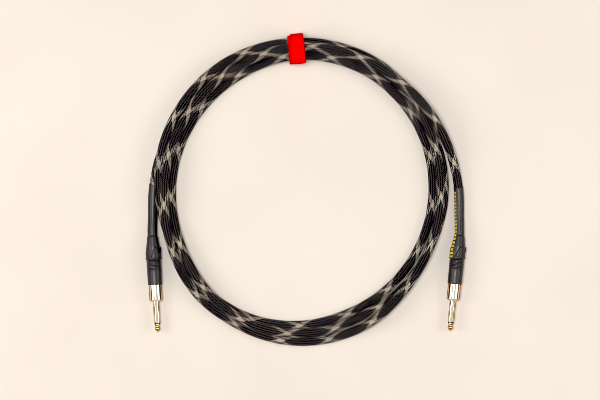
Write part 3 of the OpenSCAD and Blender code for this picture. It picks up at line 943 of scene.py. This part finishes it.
def strip(name, path, width, thick, shift, seed, closed, taper=None):
    """A strap of cloth with a lumpy pile, along a path of (y, z) in the strap's upright plane."""
    rows = len(path)
    if closed:
        ahead = unit(np.roll(path, -1, axis=0) - np.roll(path, 1, axis=0))
    else:
        ahead = unit(np.gradient(path, axis=0))
    normal = np.stack([ahead[:, 1], -ahead[:, 0]], axis=1)
    x, n = strap_section(width, thick, STRAP_COLUMNS)
    n = n[None] + PILE_HEIGHT * pile_noise(rows, STRAP_COLUMNS, seed, closed)
    x = shift + x[None] * (1.0 if taper is None else taper[:, None])
    x = x + SIDE_SWAY * np.sin(SWAY_PER_ROW * np.arange(rows))[:, None]
    y = path[:, :1] + n * normal[:, :1]
    z = path[:, 1:] + n * normal[:, 1:]
    points = on_strap(x, y, z).reshape(-1, 3)
    faces = [grid(rows, STRAP_COLUMNS)]
    if closed:
        faces.append(seam(rows, STRAP_COLUMNS))
    else:
        faces += [disc(0, STRAP_COLUMNS, False), disc((rows - 1) * STRAP_COLUMNS, STRAP_COLUMNS, True)]
    column_turn = (np.arange(STRAP_COLUMNS) + 0.5) * TURN / STRAP_COLUMNS
    # Faces round the strap's edges take the darker red: painted shade.
    at_edge = np.zeros(sum(len(f) for f in faces), bool)
    at_edge[: len(faces[0])] = np.tile(np.abs(np.cos(column_turn)) > PAINTED_SHADE_EDGE, rows - 1)
    piece = new_piece(name, points, faces, [red_cloth, red_painted_edge_shade], at_edge)
    return piece


OUTER_SLACK = 1.75  # how much closer to the coil the cloth lies than the CAD band's outer side
FLOOR_GAP = 0.25
INNER_CORNER = 6.0
OUTER_CORNER = 8.4
OVER_CORNER = 2.1  # how much wider the flap's bend over the band's inner corner is
FLAP_CORNER = 9.2
FLAP_FOOT = 9.0  # height where the flap starts, on the coil's outer side
FLAP_END = 8.6  # length of flap that bends down over the band's inner corner
FLAP_SETTLE = 0.45  # how far the flap's end sinks onto the band
FLAP_TAPER, TAPER_START, TAPER_LENGTH = 0.1, 7.5, 5.0
END_TAPER = (0.99, 0.98, 0.96, 0.93, 0.87, 0.78)  # rounds the corners of the flap's end
# Rows of the flap as it rises, bends and runs over the top
RISE_ROWS, BEND_ROWS, RUN_ROWS = 16, 30, 56


def rounded_loop(inner_y, outer_y, low, high):
    """Points round an upright rounded rectangle, from its outer side over the top."""
    arcs = []
    centres = (
        (outer_y - OUTER_CORNER, high - OUTER_CORNER, OUTER_CORNER),
        (inner_y + INNER_CORNER, high - INNER_CORNER, INNER_CORNER),
        (inner_y + INNER_CORNER, low + INNER_CORNER, INNER_CORNER),
        (outer_y - OUTER_CORNER, low + OUTER_CORNER, OUTER_CORNER),
    )
    for quarter, (cy, cz, corner) in enumerate(centres):
        t = np.linspace(quarter, quarter + 1, 12) * TURN / 4
        arcs.append(np.stack([cy + corner * np.cos(t), cz + corner * np.sin(t)], axis=1))
    return evenly(np.concatenate(arcs + [arcs[0][:1]]), PILE_STEP)[0]


def strap_box(node):
    """Lowest and highest y and z of a CAD node in the strap's own directions."""
    rel = cad_points(node) - STRAP_CENTRE
    y, z = rel @ STRAP_ALONG, rel[:, 2]
    return y.min(), y.max(), z.min(), z.max()


def over_shoulder(y, z):
    """Bends flat cloth above the band down over the band's inner corner."""
    low_y, _, _, high_z = strap_box("strap_band")
    corner_y = low_y + STRAP_THICK / 2 + INNER_CORNER
    corner_z = high_z - STRAP_THICK / 2 - INNER_CORNER
    turn = np.clip(corner_y - y, 0, None) / (INNER_CORNER + OVER_CORNER)
    radius = z - corner_z
    bent_y = np.where(turn > 0, corner_y - radius * np.sin(turn), y)
    bent_z = np.where(turn > 0, corner_z + radius * np.cos(turn), z)
    return bent_y, bent_z


def add_band():
    """The closed loop round the coil."""
    low_y, high_y, low_z, high_z = strap_box("strap_band")
    half = STRAP_THICK / 2
    sides = (low_y + half, high_y - OUTER_SLACK - half, low_z + half + FLOOR_GAP, high_z - half)
    band = strip("strap_loop_band", rounded_loop(*sides), STRAP_WIDTH, STRAP_THICK, 0.0, 3, True)
    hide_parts("strap_band")
    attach(band, "coil")


def add_flap():
    """The free end: up the band's outer side, over its top and down over its inner corner."""
    low_y, high_y = strap_box("strap_band")[:2]
    flap_low, flap_high = strap_box("strap_flap")[2:]
    outer = high_y - OUTER_SLACK + FLAP_THICK / 2 + GAP
    top = (flap_low + flap_high) / 2
    shoulder = low_y + STRAP_THICK / 2 + INNER_CORNER
    turn = np.linspace(0, TURN / 4, BEND_ROWS)
    corner_y = outer + FLAP_CORNER * (np.cos(turn) - 1)
    corner_z = top + FLAP_CORNER * (np.sin(turn) - 1)
    run_y = np.linspace(outer - FLAP_CORNER, shoulder - FLAP_END, RUN_ROWS)
    y = np.concatenate([np.full(RISE_ROWS - 1, outer), corner_y[:-1], run_y])
    rise_z = np.linspace(FLAP_FOOT, top - FLAP_CORNER, RISE_ROWS)
    z = np.concatenate([rise_z[:-1], corner_z[:-1], np.full(RUN_ROWS, top)])
    settle = FLAP_SETTLE * np.clip((shoulder - y) / FLAP_END, 0, 1) ** 2
    y, z = over_shoulder(y, z - settle)
    taper = 1 - FLAP_TAPER * np.clip((y - TAPER_START) / TAPER_LENGTH, 0, 1)
    taper[-len(END_TAPER) :] *= END_TAPER
    path = np.stack([y, z], axis=1)
    flap = strip("strap_free_end", path, FLAP_WIDTH, FLAP_THICK, FLAP_SHIFT, 5, False, taper)
    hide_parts("strap_flap")
    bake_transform(flap)


TAPE_INSET = 1.0
BACKING_THICK = 0.22
BACKING_ROWS = 24
HOOK_PITCH = 1.1
FIRST_HOOK, LAST_HOOK = 0.5, 0.3  # from the tape's edges
HOOK_HALF_WIDTH = 0.11
HOOK_THINS = 0.015  # at each step along the hook
# A hook's bend: along the strap, down from the backing
HOOK_BEND = ((0.0, 0.0), (0.0, 0.25), (0.08, 0.4), (0.24, 0.42), (0.3, 0.3))


def square_rod(first, rings):
    """Faces of a rod made of four-cornered rings of points, closed at both ends."""
    faces = []
    for a in range(first, first + 4 * (rings - 1), 4):
        faces += [(a + c, a + 4 + c, a + 4 + (c + 1) % 4, a + (c + 1) % 4) for c in range(4)]
    a = first + 4 * (rings - 1)
    return faces + [(a + 3, a + 2, a + 1, a), (first, first + 1, first + 2, first + 3)]


def add_hook_patch():
    """Hook tape under the free end: a thin backing with rows of small bent hooks pointing down."""
    low_y, high_y, _, high_z = strap_box("hook_patch")
    half_x = FLAP_WIDTH / 2 - TAPE_INSET
    left_x, right_x = FLAP_SHIFT - half_x, FLAP_SHIFT + half_x
    back = high_z - BACKING_THICK
    points = []
    for y in np.linspace(low_y, high_y, BACKING_ROWS):
        points += [(left_x, y, back), (left_x, y, high_z), (right_x, y, high_z), (right_x, y, back)]
    faces = square_rod(0, BACKING_ROWS)
    columns = np.arange(-half_x + FIRST_HOOK, half_x - LAST_HOOK, HOOK_PITCH) + FLAP_SHIFT
    for row, y in enumerate(np.arange(low_y + FIRST_HOOK, high_y - LAST_HOOK, HOOK_PITCH)):
        for x in columns + (HOOK_PITCH / 2 if row % 2 else 0.0):
            faces += square_rod(len(points), len(HOOK_BEND))
            for k, (ahead, down) in enumerate(HOOK_BEND):
                w = HOOK_HALF_WIDTH - HOOK_THINS * k
                near, far, z = y + ahead - w, y + ahead + w, back - down
                points += [(x - w, near, z), (x + w, near, z), (x + w, far, z), (x - w, far, z)]
    x, y, z = np.array(points).T
    piece = new_piece("hook_tape", on_strap(x, *over_shoulder(y, z)), [np.array(faces)], [hook_plastic])
    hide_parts("hook_patch")
    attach(piece, "strap_end")


# ---- CAD nodes that keep their own shape ----

KEPT = {
    "tip_insulator": insulator_black,
    "ground_terminal": tinned_steel,
    "rear_insulator": laminate,
    "tip_lug": tip_brass,
    "insulating_tube": clear_tube,
    "boot_bush": tip_brass,
    "cable_chuck": chuck_white,
    "boot": boot_rubber,
}


def dress_kept_nodes():
    for side in SIDES:
        for part, material in KEPT.items():
            mesh = frame["nodes"][f"{side}_{part}"].data
            mesh.materials.clear()
            mesh.materials.append(material)


# ---- stage, light and camera ----

EYE_HEIGHT = 4000.0
VIEW_WIDTH = 600.0  # width of the picture at the height of the cable
CABLE_HEIGHT = 12.0
AIM = (-5.6, -11.0)  # where the camera points, from the middle of the footprint
SENSOR = 36.0
PIXEL_FILTER = 0.75  # how many pixels each ray is spread over
BLACK_POINT = 0.014  # brightness below which the picture is black
FLOOR_HALF = 2500.0
ARCH = 0.62  # brightness of the arch of light
ARCH_ENDS = 0.25  # the share of it that is left in front and behind
ARCH_COLOUR = (1.0, 0.94, 0.86)
HORIZON_COLOUR = (0.3, 0.14, 0.04)
# name, place, size, power, colour
SOFTBOXES = (
    ("top_softbox", (-450, 120, 4300), 1300, 126.0, (1.0, 0.985, 0.97)),
    ("left_softbox", (-1100, 0, 900), 800, 6.0, (1.0, 0.95, 0.88)),
    ("right_softbox", (1100, 0, 900), 800, 5.0, (1.0, 0.95, 0.88)),
)


def add_floor():
    s = Shader("floor_paper", Roughness=0.9)
    s.drive("Base Color", s.ramp(s.noise(160.0, detail=3.0), (0.71, 0.655, 0.6), (0.74, 0.685, 0.63)))
    s.bumps(s.noise(3.0), 0.05)
    points = [(x * FLOOR_HALF, y * FLOOR_HALF, 0) for x, y in ((-1, -1), (1, -1), (1, 1), (-1, 1))]
    floor = new_piece("floor", np.array(points, float), [np.array([[0, 1, 2, 3]])], [s.material])
    floor.location.z = -GAP * MM


def add_softbox(name, place, size_mm, power, colour):
    """A round lamp that points at the middle of the floor."""
    lamp = bpy.data.lights.new(name, "AREA")
    lamp.shape = "DISK"
    lamp.size = size_mm * MM
    lamp.energy = power
    lamp.color = colour
    obj = bpy.data.objects.new(name, lamp)
    obj.location = Vector(place) * MM
    obj.rotation_mode = "QUATERNION"
    obj.rotation_quaternion = (-obj.location).to_track_quat("-Z", "Y")
    bpy.context.scene.collection.objects.link(obj)


def add_world():
    """A bright arch of light from left to right over the table, and a dark, warm horizon."""
    world = bpy.data.worlds.new("studio")
    world.use_nodes = True
    tree = world.node_tree
    direction = tree.nodes.new("ShaderNodeTexCoord").outputs["Generated"]
    split = tree.nodes.new("ShaderNodeSeparateXYZ")
    tree.links.new(direction, split.inputs[0])
    sideways = tree.nodes.new("ShaderNodeMath")
    sideways.operation = "ABSOLUTE"
    tree.links.new(split.outputs["Y"], sideways.inputs[0])

    def fade(value, start, end, low, high):
        """Goes smoothly from low to high as value goes from start to end."""
        made = tree.nodes.new("ShaderNodeMapRange")
        made.interpolation_type = "SMOOTHSTEP"
        for name, number in (("From Min", start), ("From Max", end), ("To Min", low), ("To Max", high)):
            made.inputs[name].default_value = number
        tree.links.new(value, made.inputs["Value"])
        return made.outputs["Result"]

    height = fade(split.outputs["Z"], 0.25, 0.55, 0.0, 1.0)
    width = fade(sideways.outputs[0], 0.2, 0.55, ARCH, ARCH_ENDS * ARCH)
    colour = tree.nodes.new("ShaderNodeMix")
    colour.data_type = "RGBA"
    tree.links.new(height, colour.inputs[MIX_SHARE])
    colour.inputs[MIX_A].default_value = (*HORIZON_COLOUR, 1)
    colour.inputs[MIX_B].default_value = (*ARCH_COLOUR, 1)
    background = tree.nodes["Background"]
    tree.links.new(colour.outputs[MIX_COLOUR], background.inputs["Color"])
    tree.links.new(width, background.inputs["Strength"])
    bpy.context.scene.world = world


def add_studio():
    for softbox in SOFTBOXES:
        add_softbox(*softbox)
    add_world()
    view = bpy.context.scene.view_settings
    view.view_transform = "Standard"
    view.use_curve_mapping = True
    view.curve_mapping.black_level = (BLACK_POINT, BLACK_POINT, BLACK_POINT)
    view.curve_mapping.update()
    bpy.context.scene.cycles.filter_width = PIXEL_FILTER


def add_camera():
    lens = bpy.data.cameras.new("camera")
    lens.sensor_width = SENSOR
    lens.lens = SENSOR * (EYE_HEIGHT - CABLE_HEIGHT) / VIEW_WIDTH
    camera = bpy.data.objects.new("camera", lens)
    lo, hi = cad_box
    camera.location = ((lo.x + hi.x) / 2 + AIM[0] * MM, (lo.y + hi.y) / 2 + AIM[1] * MM, EYE_HEIGHT * MM)
    bpy.context.scene.collection.objects.link(camera)
    bpy.context.scene.camera = camera


# ---- build ----

add_sleeve()
add_layers()
for plug_side in SIDES:
    add_heat_shrink(plug_side)
    add_plug_metal(plug_side)
add_band()
add_flap()
add_hook_patch()
dress_kept_nodes()
add_floor()
add_studio()
add_camera()
